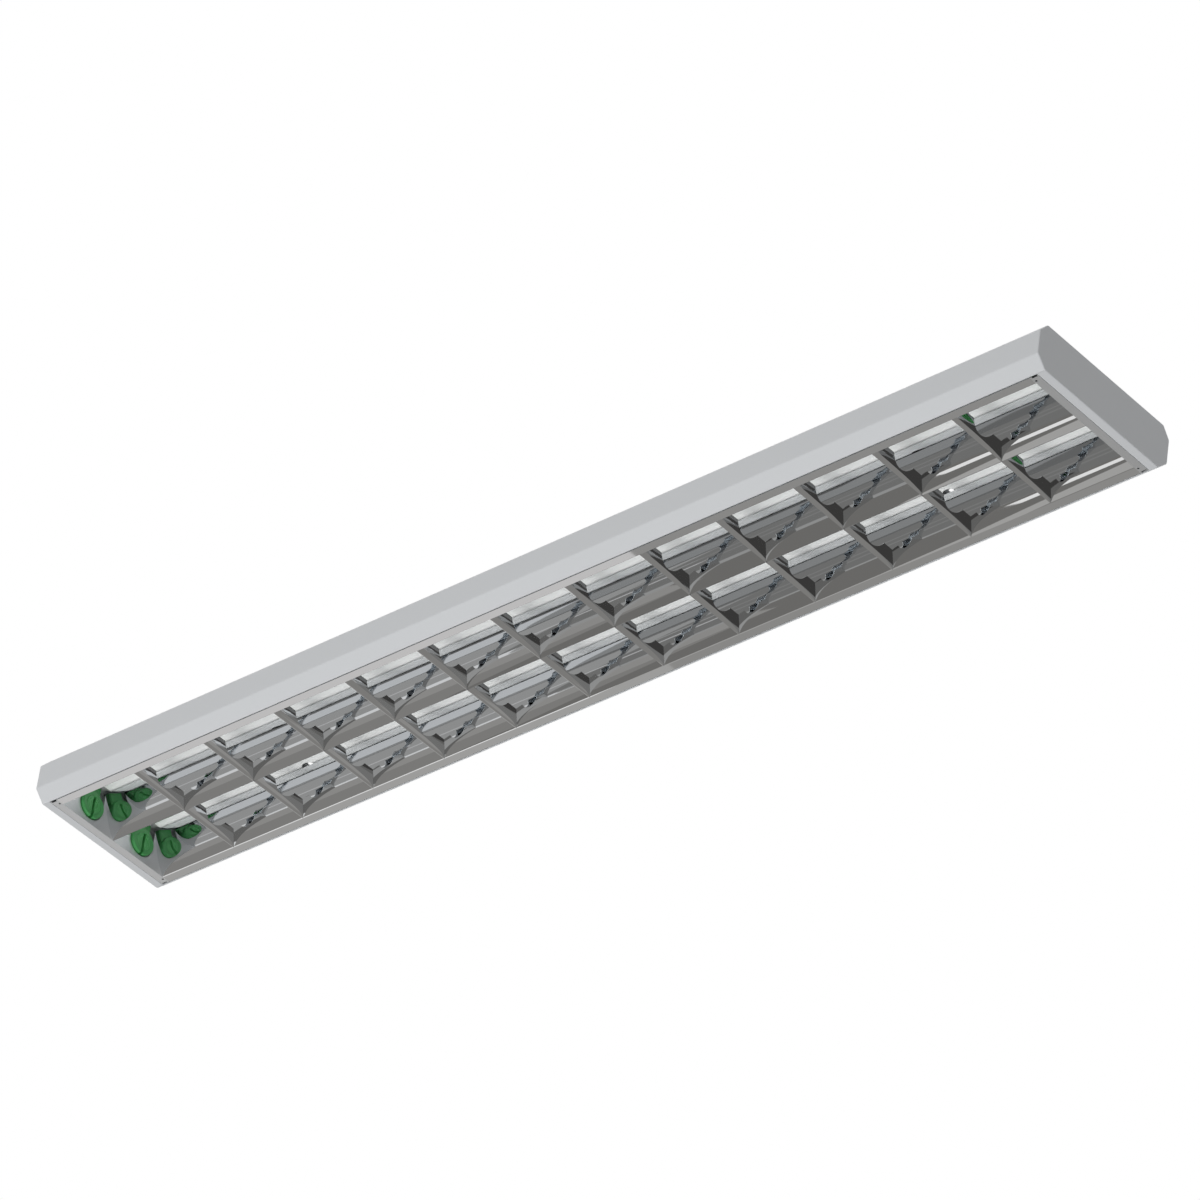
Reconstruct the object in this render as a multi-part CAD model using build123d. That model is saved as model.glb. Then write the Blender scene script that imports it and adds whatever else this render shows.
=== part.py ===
from build123d import *
import os

# Surface mounted luminaire for two tubes side by side, with a mirror louvre.
# Millimetres. X runs along the tubes, Y across, +Z up into the ceiling.
# The origin is the middle of the face that lies on the ceiling.

# Overall body
end_margin = 22.25
body_width = 187.0
body_height = 50.0
top_chamfer_in = 9.7
top_chamfer_down = 11.5
bottom_chamfer_in = 11.7
bottom_chamfer_up = 11.8
sheet = 0.8
fold_radius = 2.4
return_height = 6.0

# End caps
cap_plate = 2.0
cap_edge_radius = 1.4
cap_flange_depth = 8.0
cap_flange_gap = 0.15
cap_lip = 9.5
cap_return_height = 5.0

# Tubes that the fitting takes
tube_length = 1199.4
tube_end_play = 1.1
tube_radius = 13.0
tube_height = 20.6
row_width = 71.4

# Mirror louvre
louvre_sheet = 0.5
louvre_side_gap = 1.0
louvre_end_gap = 0.5
reflector_height = 43.5
reflector_reach = 20.8
reflector_knee_reach = 13.5
reflector_knee_height = 14.5
ridge_half_width = 0.3
rim_upstand = 8.0
side_top_lip = 5.0
centre_top_lip = 4.0
end_plate_setback = 3.5
corner_notch_length = 6.0
corner_notch_depth = 1.8
corner_notch_inset = 1.0
cord_hole_radius = 1.1
cord_hole_inset = 6.4
blade_count = 12
blade_height = 14.4
blade_half_thickness = 6.0
blade_knee_thickness = 4.2
blade_knee_height = 5.8
blade_wall = 0.5
blade_end_gap = 0.1
blade_notch_gap = 2.0
spine_low = 0.9
spine_high = 4.2
spine_slot_gap = 0.12
spine_tab = 1.6

# Lampholders
holder_radius = 14.3
holder_neck_width = 18.0
holder_front_chamfer = 0.8
holder_slot = 3.2
holder_cutout_gap = 1.2
rotor_radius = 9.0
rotor_gap = 0.05
rotor_length = 6.8
rotor_slot_depth = 5.2
rotor_hub_radius = 5.0
rotor_hub_recess = 0.6
contact_cavity_radius = 7.5
contact_cavity_depth = 2.4
contact_width = 2.4
contact_length = 6.0
contact_spacing = 7.0
contact_thickness = 1.2
peg_radius = 3.0
peg_gap = 0.05
bracket_sheet = 1.0
bracket_overhang = 9.0
peg_rise = 8.0
bracket_foot = 22.0
holder_depth = 11.0

# Gear tray and what it carries
tray_sheet = 0.7
tray_clearance = 1.5
tray_overlap = 0.6
tray_end_gap = 2.5
gear_length = 360.0
gear_width = 26.0
gear_height = 18.0
gear_centre_x = -170.0
gear_case_sheet = 0.8
gear_end_tab = 12.0
gear_terminal_length = 14.0
gear_terminal_height = 11.0
circuit_board = 1.6
circuit_gap = 0.4
coil_share = 0.26
sink_share = 0.38
capacitor_shares = (-0.75, -0.62, -0.38, 0.8)
terminal_centre_x = 150.0
terminal_length = 34.0
terminal_width = 20.0
terminal_height = 12.0
terminal_poles = 3
terminal_hole_radius = 2.2
terminal_peg_radius = 2.0
earth_screw_x = 205.0

# Cable entry
entry_x = 260.0
entry_hole_radius = 9.0
grommet_bore_radius = 5.0
grommet_flange_radius = 12.0
grommet_flange = 1.6
tray_entry_radius = 14.0

# Fixing holes in the ceiling face
fixing_spacing_x = 800.0
fixing_spacing_y = 110.0
fixing_hole_radius = 2.75
fixing_access_radius = 8.0

# Screws and clips
tray_screw_inset = 60.0
tray_screw_gap = 1.4
screw_radius = 1.5
screw_hole_gap = 0.1
screw_head_radius = 3.0
screw_head_height = 2.0
clip_sheet = 0.4
clip_length = 24.0
clip_gap = 0.3
clip_spacing = 820.0

# Places worked out from the sizes above
holder_face_x = (tube_length + tube_end_play) / 2
half_length = holder_face_x + end_margin
body_length = 2 * half_length
half_width = body_width / 2
bottom = -body_height
shell_half = half_length - cap_plate
mouth_half_width = half_width - bottom_chamfer_in
return_inner = mouth_half_width - sheet
louvre_half_width = return_inner - louvre_side_gap
louvre_half_length = half_length - cap_lip - louvre_end_gap
end_plate_x = holder_face_x + end_plate_setback
tube_y = row_width / 2
tube_z = bottom + tube_height
rim_y = row_width - ridge_half_width
cell_pitch = 2 * holder_face_x / (blade_count + 1)
tray_under_z = bottom + reflector_height + tray_clearance
tray_top_z = tray_under_z + tray_sheet
tray_half_length = holder_face_x - tray_end_gap
tray_half_width = row_width + tray_overlap
bracket_x = holder_face_x + holder_depth
notch_radius = tube_radius + blade_notch_gap
ceiling_under = -sheet


def box_between(low, high):
    """Box from its lowest to its highest corner."""
    size = [b - a for a, b in zip(low, high)]
    middle = [(a + b) / 2 for a, b in zip(low, high)]
    return Pos(*middle) * Box(*size)


def rod(radius, start, end, axis="Z"):
    """Round rod along one axis, from one end's centre to a coordinate on that axis."""
    length = end - start["XYZ".index(axis)]
    turn = {"X": Rot(0, 90, 0), "Y": Rot(-90, 0, 0), "Z": Rot(0, 0, 0)}[axis]
    solid = turn * Cylinder(radius, abs(length), align=(Align.CENTER, Align.CENTER, Align.CENTER))
    place = list(start)
    place["XYZ".index(axis)] += length / 2
    return Pos(*place) * solid


def along_length(profile, start, end):
    """Sketch in Y and Z, carried along X from start to end."""
    return Pos(start, 0, 0) * extrude(Plane.YZ * profile, end - start)


def shell_outline():
    """Outer section of the body, with its folds rounded."""
    top_half = half_width - top_chamfer_in
    half = [
        (top_half, 0),
        (half_width, -top_chamfer_down),
        (half_width, bottom + bottom_chamfer_up),
        (mouth_half_width, bottom),
    ]
    points = half + [(-y, z) for y, z in reversed(half)]
    face = make_face(Polyline(*points, close=True))
    upper = face.vertices().filter_by(lambda v: v.Y > bottom + 0.5 or v.Z > bottom + 0.5)
    return fillet(upper, fold_radius)


def shell_inside(distance):
    """The body's section moved inward by a distance."""
    return offset(shell_outline(), -distance, kind=Kind.INTERSECTION)


def housing_body():
    """Folded channel: ceiling face, sides, chamfers and an upright return at each side of the mouth."""
    mouth = Pos(0, bottom + sheet / 2) * Rectangle(2 * return_inner, 2 * sheet)
    section = shell_outline() - shell_inside(sheet) - mouth
    for side in (1, -1):
        middle = side * (mouth_half_width + return_inner) / 2
        section += Pos(middle, bottom + return_height / 2) * Rectangle(sheet, return_height)
    body = along_length(section, -shell_half, shell_half)
    holes = [rod(entry_hole_radius, (entry_x, 0, -sheet - 1), 1)]
    for x, y in fixing_places():
        holes.append(rod(fixing_hole_radius, (x, y, -sheet - 1), 1))
    for x, y in ceiling_screw_places():
        holes.append(rod(screw_radius + screw_hole_gap, (x, y, -sheet - 1), 1))
    return body - holes


def fixing_places():
    """Four fixings into the ceiling, on a rectangle."""
    xs = (-fixing_spacing_x / 2, fixing_spacing_x / 2)
    ys = (-fixing_spacing_y / 2, fixing_spacing_y / 2)
    return [(x, y) for x in xs for y in ys]


def tray_screw_places():
    """Four screws that hold the tray, one near each corner."""
    x = tray_half_length - tray_screw_inset
    lip_end = row_width - reflector_reach + side_top_lip
    y = lip_end + tray_screw_gap + screw_head_radius
    return [(sx * x, sy * y) for sx in (-1, 1) for sy in (-1, 1)]


def cap_screw_places(side):
    """Two screws through one end cap's top flange."""
    x = side * (shell_half - cap_flange_depth / 2)
    y = body_width / 3
    return [(x, -y), (x, y)]


def bracket_screw_places(side):
    """Two screws through one lampholder bracket's foot."""
    x = side * (bracket_x - bracket_foot + 2 * screw_head_radius)
    y = tube_y / 2
    return [(x, -y), (x, y)]


def ceiling_screw_places():
    """Every screw that goes into the ceiling face."""
    places = tray_screw_places()
    for side in (-1, 1):
        places += cap_screw_places(side) + bracket_screw_places(side)
    return places


def end_cap(side):
    """Plate with the body's outline, a flange that fits inside the body and a lip under the louvre."""
    start = side * shell_half
    plate = along_length(shell_outline(), start, side * half_length)
    outer_face = plate.faces().sort_by(Axis.X)[-1 if side > 0 else 0]
    plate = fillet(outer_face.edges(), cap_edge_radius)
    outer = shell_inside(sheet + cap_flange_gap)
    inner = shell_inside(2 * sheet + cap_flange_gap)
    flange = along_length(outer - inner, start, start - side * cap_flange_depth)
    floor_cut = box_between(
        (start - cap_flange_depth - 1, -mouth_half_width - 3, bottom - 1),
        (start + cap_flange_depth + 1, mouth_half_width + 3, bottom + return_height + 1),
    )
    flange -= floor_cut
    lip_inner = half_length - cap_lip
    lip_half = return_inner - cap_flange_gap
    xs = sorted((side * lip_inner, start))
    lip = box_between((xs[0], -lip_half, bottom), (xs[1], lip_half, bottom + sheet))
    xs = sorted((side * lip_inner, side * (lip_inner + sheet)))
    lip += box_between((xs[0], -lip_half, bottom), (xs[1], lip_half, bottom + cap_return_height))
    holes = []
    for x, y in cap_screw_places(side):
        holes.append(rod(screw_radius + screw_hole_gap, (x, y, -4 * sheet), 0))
    return plate + (flange - holes) + lip


def wall_curve(reach, knee, high, start=ridge_half_width):
    """Parabola from the bottom edge to the top edge of a reflector, as reach against height."""
    return Bezier((start, 0), knee, (reach, high))


def wall_section(reach, knee, high, thickness):
    """Sheet that follows the parabola, with its thickness on the low-reach side."""
    face_line = wall_curve(reach, knee, high)
    back_line = Pos(-thickness, 0) * face_line
    foot = Line(back_line @ 0, face_line @ 0)
    head = Line(face_line @ 1, back_line @ 1)
    return make_face([foot, face_line, head, back_line])


def positive_half(size):
    """Square that covers only the side of positive reach, from below the foot to above the head."""
    return Pos(size / 2, size / 4) * Rectangle(size, size)


def reflector_section():
    """One wall of the centre reflector, on the +Y side of the ridge."""
    knee = (reflector_knee_reach, reflector_knee_height)
    wall = wall_section(reflector_reach, knee, reflector_height, louvre_sheet)
    return wall & positive_half(2 * reflector_height)


def spine_slots(y_low, y_high):
    """Slots that the spines of the cross blades pass through."""
    slots = []
    half = blade_wall / 2 + spine_slot_gap
    for x in blade_places():
        low = (x - half, y_low, bottom + spine_low - spine_slot_gap)
        high = (x + half, y_high, bottom + spine_high + spine_slot_gap)
        slots.append(box_between(low, high))
    return slots


def louvre_centre():
    """Double wall with its ridge down, each top edge folded inward."""
    wall = reflector_section()
    lip_middle = reflector_reach - centre_top_lip / 2
    lip_height = reflector_height - louvre_sheet / 2
    wall += Pos(lip_middle, lip_height) * Rectangle(centre_top_lip, louvre_sheet)
    section = Pos(0, bottom) * (wall + mirror(wall, about=Plane.YZ))
    body = along_length(section, -end_plate_x, end_plate_x)
    slot_reach = reflector_reach / 2
    return body - spine_slots(-slot_reach, slot_reach)


def louvre_side(side):
    """Outer reflector with the flat rim below, an upstand outside it and a lip at the top."""
    wall = mirror(reflector_section(), about=Plane.YZ)
    wall = Pos(row_width, 0) * wall
    top_y = row_width - reflector_reach
    wall += Pos(top_y + side_top_lip / 2, reflector_height - louvre_sheet / 2) * Rectangle(
        side_top_lip, louvre_sheet
    )
    rim_start = rim_y
    rim_middle = (rim_start + louvre_half_width) / 2
    wall += Pos(rim_middle, louvre_sheet / 2) * Rectangle(louvre_half_width - rim_start, louvre_sheet)
    wall += Pos(louvre_half_width - louvre_sheet / 2, rim_upstand / 2) * Rectangle(
        louvre_sheet, rim_upstand
    )
    section = Pos(0, bottom) * wall
    if side < 0:
        section = mirror(section, about=Plane.YZ)
    body = along_length(section, -end_plate_x, end_plate_x)
    ys = sorted((side * (rim_y - 4), side * (rim_y + 4)))
    return body - spine_slots(*ys)


def row_core(gap):
    """Space inside one row of the louvre, kept a gap clear of its two reflectors."""
    knee = (reflector_knee_reach + gap, reflector_knee_height)
    near = Bezier((ridge_half_width + gap, 0), knee, (reflector_reach + gap, reflector_height))
    far_knee = (row_width - knee[0], knee[1])
    far = Bezier(
        (row_width - ridge_half_width - gap, 0),
        far_knee,
        (row_width - reflector_reach - gap, reflector_height),
    )
    floor_line = Line(near @ 0, far @ 0)
    head_line = Line(near @ 1, far @ 1)
    return make_face([floor_line, far, head_line, near])


def blade_places():
    """Places of the cross blades along the fitting."""
    first = -(blade_count - 1) / 2 * cell_pitch
    return [first + i * cell_pitch for i in range(blade_count)]


def cross_blade():
    """Folded blade across both rows: two parabolic walls from one bottom edge, notched over each tube."""
    knee = (blade_knee_thickness, blade_knee_height)
    wall = wall_section(blade_half_thickness, knee, blade_height, blade_wall)
    wall = wall & positive_half(2 * blade_height)
    section = wall + mirror(wall, about=Plane.YZ)
    section = section + Pos(0, spine_high / 2) * Rectangle(blade_wall, spine_high)
    fold = Plane.XZ * (Pos(0, bottom) * section)
    strip = extrude(fold, louvre_half_width, both=True)
    core = Pos(0, bottom) * row_core(blade_end_gap)
    both_rows = core + mirror(core, about=Plane.YZ)
    room = along_length(both_rows, -blade_half_thickness - 1, blade_half_thickness + 1)
    wings = strip & room
    for side in (-1, 1):
        start = (-blade_half_thickness - 2, side * tube_y, tube_z)
        wings -= rod(notch_radius, start, blade_half_thickness + 2, "X")
    tab_end = rim_y + spine_tab
    spine = box_between(
        (-blade_wall / 2, -tab_end, bottom + spine_low),
        (blade_wall / 2, tab_end, bottom + spine_high),
    )
    return wings + spine


def end_outline():
    """Section of an end reflector: from the rim up between the two outer reflectors."""
    core = row_core(-louvre_sheet)
    both = core + mirror(core, about=Plane.YZ)
    middle = Pos(0, reflector_height / 2) * Rectangle(2 * reflector_reach, reflector_height)
    return both + middle


def rim_openings(side):
    """Notch in the edge and small hole near both corners of an end rim."""
    notch_end = side * (louvre_half_length - corner_notch_inset)
    xs = sorted((notch_end, notch_end - side * corner_notch_length))
    hole_x = side * (louvre_half_length - cord_hole_inset)
    openings = []
    for row in (-1, 1):
        ys = sorted((row * (louvre_half_width - corner_notch_depth), row * (louvre_half_width + 1)))
        openings.append(box_between((xs[0], ys[0], bottom - 1), (xs[1], ys[1], bottom + 1)))
        hole_y = row * (louvre_half_width - cord_hole_inset)
        openings.append(rod(cord_hole_radius, (hole_x, hole_y, bottom - 1), bottom + 1))
    return openings


def louvre_end(side):
    """Upright end reflector with a cut-out over each lampholder, a rim below and an upstand outside."""
    start = side * end_plate_x
    plate = along_length(Pos(0, bottom) * end_outline(), start, start + side * louvre_sheet)
    slot_half = holder_radius + holder_cutout_gap
    xs = sorted((start - side, start + side * (louvre_sheet + 1)))
    for row in (-1, 1):
        plate -= rod(slot_half, (xs[0], row * tube_y, tube_z), xs[1], "X")
        plate -= box_between(
            (xs[0], row * tube_y - slot_half, tube_z),
            (xs[1], row * tube_y + slot_half, bottom + reflector_height + 1),
        )
    end = side * louvre_half_length
    xs = sorted((start, end))
    rim = box_between((xs[0], -louvre_half_width, bottom), (xs[1], louvre_half_width, bottom + louvre_sheet))
    rim -= rim_openings(side)
    xs = sorted((end, end - side * louvre_sheet))
    rim += box_between(
        (xs[0], -louvre_half_width, bottom), (xs[1], louvre_half_width, bottom + cap_return_height)
    )
    return plate + rim


def lampholder_body(side, row):
    """Drum with a neck up to the bracket, a recess for the rotor and an entry slot from below."""
    face = side * holder_face_x
    back = side * bracket_x
    y = row * tube_y
    drum = rod(holder_radius, (face, y, tube_z), back, "X")
    front = drum.faces().sort_by(Axis.X)[0 if side > 0 else -1]
    drum = chamfer(front.edges(), holder_front_chamfer)
    neck_front = face + side * 3
    xs = sorted((neck_front, back))
    half = holder_neck_width / 2
    neck = box_between((xs[0], y - half, tube_z), (xs[1], y + half, tray_under_z - 0.5))
    body = drum + neck
    body += rod(peg_radius, (back, y, tube_z + peg_rise), back + side * (bracket_sheet + 1.5), "X")
    recess_end = face + side * (rotor_length + 2 * rotor_gap)
    body -= rod(rotor_radius + rotor_gap, (face - side, y, tube_z), recess_end, "X")
    body -= rod(contact_cavity_radius, (recess_end, y, tube_z), recess_end + side * contact_cavity_depth, "X")
    slot_end = face + side * rotor_slot_depth
    xs = sorted((face - side, slot_end))
    body -= box_between(
        (xs[0], y - holder_slot / 2, tube_z - holder_radius - 1), (xs[1], y + holder_slot / 2, tube_z)
    )
    return body


def lampholder_rotor(side, row):
    """Disc that turns in the holder, with a slot right across for the two pins of the tube."""
    face = side * holder_face_x
    y = row * tube_y
    disc = rod(rotor_radius, (face, y, tube_z), face + side * rotor_length, "X")
    hub = rod(rotor_hub_radius, (face - side, y, tube_z), face + side * rotor_hub_recess, "X")
    xs = sorted((face - side, face + side * rotor_slot_depth))
    slot = box_between(
        (xs[0], y - holder_slot / 2, tube_z - rotor_radius - 1),
        (xs[1], y + holder_slot / 2, tube_z + rotor_radius + 1),
    )
    return disc - hub - slot


def lampholder_contacts(side, row):
    """Two contact leaves on the floor of the cavity behind the rotor."""
    floor_x = side * (holder_face_x + rotor_length + 2 * rotor_gap + contact_cavity_depth)
    y = row * tube_y
    leaves = []
    xs = sorted((floor_x, floor_x - side * contact_thickness))
    for place in (-contact_spacing / 2, contact_spacing / 2):
        leaves.append(
            box_between(
                (xs[0], y + place - contact_width / 2, tube_z - contact_length / 2),
                (xs[1], y + place + contact_width / 2, tube_z + contact_length / 2),
            )
        )
    return Compound(children=leaves)


def holder_bracket(side):
    """Angle with an upright that carries two lampholders and a foot under the ceiling face."""
    front = side * bracket_x
    back = front + side * bracket_sheet
    half = tube_y + holder_radius + bracket_overhang
    xs = sorted((front, back))
    upright = box_between((xs[0], -half, tube_z - 6), (xs[1], half, ceiling_under))
    xs = sorted((back, front - side * bracket_foot))
    foot = box_between((xs[0], -half, ceiling_under - bracket_sheet), (xs[1], half, ceiling_under))
    holes = []
    for row in (-1, 1):
        holes.append(rod(peg_radius + peg_gap, (front - side, row * tube_y, tube_z + peg_rise), back + side, "X"))
    for x, y in bracket_screw_places(side):
        holes.append(rod(screw_radius + screw_hole_gap, (x, y, -5), 0))
    return upright + foot - holes


def screw(x, y, seat_z):
    """Pan-head screw pointing up, its head under seat_z and its tip just inside the ceiling face."""
    shank = rod(screw_radius, (x, y, seat_z), -0.1)
    head = rod(screw_head_radius, (x, y, seat_z - screw_head_height), seat_z)
    low_edges = head.edges().filter_by(GeomType.CIRCLE).sort_by(Axis.Z)[0]
    head = fillet(low_edges, screw_head_height * 0.45)
    return shank + head


def screws(places, seat_z):
    """Group of like screws."""
    return Compound(children=[screw(x, y, seat_z) for x, y in places])


def gear_tray():
    """White plate over the lamps, with long edges folded up to the ceiling face."""
    plate = box_between(
        (-tray_half_length, -tray_half_width, tray_under_z), (tray_half_length, tray_half_width, tray_top_z)
    )
    for side in (-1, 1):
        ys = sorted((side * tray_half_width, side * (tray_half_width - tray_sheet)))
        plate += box_between(
            (-tray_half_length, ys[0], tray_under_z), (tray_half_length, ys[1], ceiling_under)
        )
    holes = [rod(tray_entry_radius, (entry_x, 0, tray_under_z - 1), 0)]
    for x, y in fixing_places():
        holes.append(rod(fixing_access_radius, (x, y, tray_under_z - 1), 0))
    for x, y in tray_screw_places():
        holes.append(rod(screw_radius + screw_hole_gap, (x, y, tray_under_z - 1), 0))
    for x in gear_screw_places():
        holes.append(rod(screw_radius + screw_hole_gap, (x, 0, tray_under_z - 1), 0))
    for x in terminal_peg_places():
        holes.append(rod(terminal_peg_radius + peg_gap, (x, 0, tray_under_z - 1), 0))
    holes.append(rod(screw_radius + screw_hole_gap, (earth_screw_x, 0, tray_under_z - 1), 0))
    return plate - holes


def terminal_peg_places():
    """Two pegs under the mains terminal block that press into the tray."""
    return [terminal_centre_x - terminal_length / 4, terminal_centre_x + terminal_length / 4]


def gear_screw_places():
    """One screw through the tab at each end of the control gear."""
    reach = gear_length / 2 + gear_end_tab / 2
    return [gear_centre_x - reach, gear_centre_x + reach]


def gear_case():
    """Folded case of the control gear, open at both ends, with a screw tab at each end."""
    half = gear_length / 2
    low_z = tray_under_z - gear_height
    case = box_between(
        (gear_centre_x - half, -gear_width / 2, low_z), (gear_centre_x + half, gear_width / 2, tray_under_z)
    )
    long_edges = case.edges().filter_by(Axis.X).group_by(Axis.Z)[0]
    case = fillet(long_edges, 1.5)
    case -= box_between(
        (gear_centre_x - half - 1, -gear_width / 2 + gear_case_sheet, low_z + gear_case_sheet),
        (gear_centre_x + half + 1, gear_width / 2 - gear_case_sheet, tray_under_z - gear_case_sheet),
    )
    for side in (-1, 1):
        end = gear_centre_x + side * half
        xs = sorted((end, end + side * gear_end_tab))
        case += box_between(
            (xs[0], -gear_width / 2 + 3, tray_under_z - gear_case_sheet),
            (xs[1], gear_width / 2 - 3, tray_under_z),
        )
    for x in gear_screw_places():
        case -= rod(screw_radius + screw_hole_gap, (x, 0, tray_under_z - 3), 0)
    return case


def gear_terminals():
    """Push-in terminal block in each end of the gear case."""
    blocks = []
    half_width_inside = gear_width / 2 - gear_case_sheet - 0.2
    high_z = tray_under_z - gear_case_sheet
    for side in (-1, 1):
        end = gear_centre_x + side * gear_length / 2
        xs = sorted((end - side * 0.5, end - side * gear_terminal_length))
        block = box_between(
            (xs[0], -half_width_inside, high_z - gear_terminal_height), (xs[1], half_width_inside, high_z)
        )
        for i in (-1.5, -0.5, 0.5, 1.5):
            start = (end + side, i * 4.6, high_z - gear_terminal_height / 2)
            block -= rod(1.3, start, end - side * 8, "X")
        blocks.append(block)
    return Compound(children=blocks)


def gear_circuit():
    """Circuit board in the gear case, between the terminals, with its coil, capacitors and heat sink."""
    reach = gear_length / 2 - gear_terminal_length - circuit_gap
    half = gear_width / 2 - gear_case_sheet
    top = tray_under_z - gear_case_sheet
    board = box_between(
        (gear_centre_x - reach, -half, top - circuit_board), (gear_centre_x + reach, half, top)
    )
    under = top - circuit_board
    room = gear_height - 2 * gear_case_sheet - circuit_board - circuit_gap
    low = under - room
    coil_half = reach * coil_share / 2
    board += box_between(
        (gear_centre_x - coil_half, -half * 0.8, low), (gear_centre_x + coil_half, half * 0.8, under)
    )
    sink_start = gear_centre_x + reach * sink_share
    board += box_between(
        (sink_start, -half + circuit_gap, low), (sink_start + 2 * coil_half, -half + 4 * circuit_gap, under)
    )
    for share in capacitor_shares:
        start = (gear_centre_x + reach * share, 0, low)
        board += rod(half * 0.65, start, under)
    return board


def terminal_block():
    """Mains terminal block: a step-sided moulding with a wire hole at each pole."""
    half = terminal_length / 2
    block = box_between(
        (terminal_centre_x - half, -terminal_width / 2, tray_under_z - terminal_height),
        (terminal_centre_x + half, terminal_width / 2, tray_under_z),
    )
    step = terminal_height * 0.4
    for side in (-1, 1):
        ys = sorted((side * terminal_width / 2, side * (terminal_width / 2 - 4)))
        block -= box_between(
            (terminal_centre_x - half - 1, ys[0], tray_under_z - terminal_height - 1),
            (terminal_centre_x + half + 1, ys[1], tray_under_z - terminal_height + step),
        )
    for x in terminal_peg_places():
        block += rod(terminal_peg_radius, (x, 0, tray_under_z), tray_top_z + 0.8)
    pitch = terminal_length / terminal_poles
    for i in range(terminal_poles):
        x = terminal_centre_x + (i - (terminal_poles - 1) / 2) * pitch
        start = (x, -terminal_width / 2 - 1, tray_under_z - terminal_height * 0.3)
        block -= rod(terminal_hole_radius, start, terminal_width / 2 + 1, "Y")
        start = (x, 0, tray_under_z - terminal_height - 1)
        block -= rod(terminal_hole_radius, start, tray_under_z - terminal_height * 0.5)
    return block


def short_screw(x, y, seat_z, tip_z):
    """Screw under the tray, its head at seat_z and its tip at tip_z."""
    shank = rod(screw_radius, (x, y, seat_z), tip_z)
    head = rod(screw_head_radius, (x, y, seat_z - screw_head_height), seat_z)
    return shank + head


def cable_grommet():
    """Rubber ring in the cable entry: a flange under the ceiling face and a collar in the hole."""
    flange = rod(grommet_flange_radius, (entry_x, 0, ceiling_under - grommet_flange), ceiling_under)
    collar = rod(entry_hole_radius, (entry_x, 0, ceiling_under), 0)
    ring = flange + collar
    return ring - rod(grommet_bore_radius, (entry_x, 0, -10), 10)


def louvre_clip(x, side):
    """Spring leaf hooked over the return of the body, its inner leg beside the louvre's upstand."""
    inner = return_inner - clip_gap
    leg_top = bottom + return_height + clip_gap
    xs = (x - clip_length / 2, x + clip_length / 2)

    def leaf(y_low, y_high, z_low, z_high):
        ys = sorted((side * y_low, side * y_high))
        return box_between((xs[0], ys[0], z_low), (xs[1], ys[1], z_high))

    inner_leg = leaf(inner - clip_sheet, inner, bottom + 1.5, leg_top + clip_sheet)
    bridge = leaf(inner - clip_sheet, mouth_half_width + clip_gap + clip_sheet, leg_top, leg_top + clip_sheet)
    outer_low = bottom + return_height - 2.5
    outer_leg = leaf(
        mouth_half_width + clip_gap, mouth_half_width + clip_gap + clip_sheet, outer_low, leg_top + clip_sheet
    )
    return inner_leg + bridge + outer_leg


def louvre_clips():
    """Four spring clips, two along each side of the mouth."""
    clips = []
    for x in (-clip_spacing / 2, clip_spacing / 2):
        for side in (-1, 1):
            clips.append(louvre_clip(x, side))
    return Compound(children=clips)


def main():
    """Write one STEP file for each sub-part."""
    os.makedirs("parts", exist_ok=True)
    parts = {
        "housing_body": housing_body(),
        "gear_tray": gear_tray(),
        "gear_case": gear_case(),
        "gear_circuit": gear_circuit(),
        "gear_terminals": gear_terminals(),
        "terminal_block": terminal_block(),
        "cable_grommet": cable_grommet(),
        "louvre_centre_reflector": louvre_centre(),
        "louvre_clips": louvre_clips(),
    }
    seat = tray_under_z
    parts["tray_screws"] = screws(tray_screw_places(), seat)
    gear_seat = tray_under_z - gear_case_sheet
    gear_screws = [short_screw(x, 0, gear_seat, tray_top_z + 1) for x in gear_screw_places()]
    parts["gear_screws"] = Compound(children=gear_screws)
    parts["earth_screw"] = short_screw(earth_screw_x, 0, tray_under_z, tray_top_z + 1)
    for name, side in (("left", -1), ("right", 1)):
        parts["end_cap_" + name] = end_cap(side)
        parts["louvre_end_" + name] = louvre_end(side)
        parts["holder_bracket_" + name] = holder_bracket(side)
        flange_seat = -2 * sheet - cap_flange_gap
        parts["cap_screws_" + name] = screws(cap_screw_places(side), flange_seat)
        foot_seat = ceiling_under - bracket_sheet
        parts["bracket_screws_" + name] = screws(bracket_screw_places(side), foot_seat)
        for row_name, row in (("near", -1), ("far", 1)):
            holder = name + "_" + row_name
            parts["lampholder_body_" + holder] = lampholder_body(side, row)
            parts["lampholder_rotor_" + holder] = lampholder_rotor(side, row)
            parts["lampholder_contacts_" + holder] = lampholder_contacts(side, row)
    parts["louvre_side_near"] = louvre_side(-1)
    parts["louvre_side_far"] = louvre_side(1)
    blade = cross_blade()
    for i, x in enumerate(blade_places()):
        parts["cross_blade_%02d" % (i + 1)] = Pos(x, 0, 0) * blade
    for name, shape in parts.items():
        export_step(shape, "parts/" + name + ".step")


main()
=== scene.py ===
import math

import bmesh
import bpy
import numpy as np
from mathutils import Matrix, Vector


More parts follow.
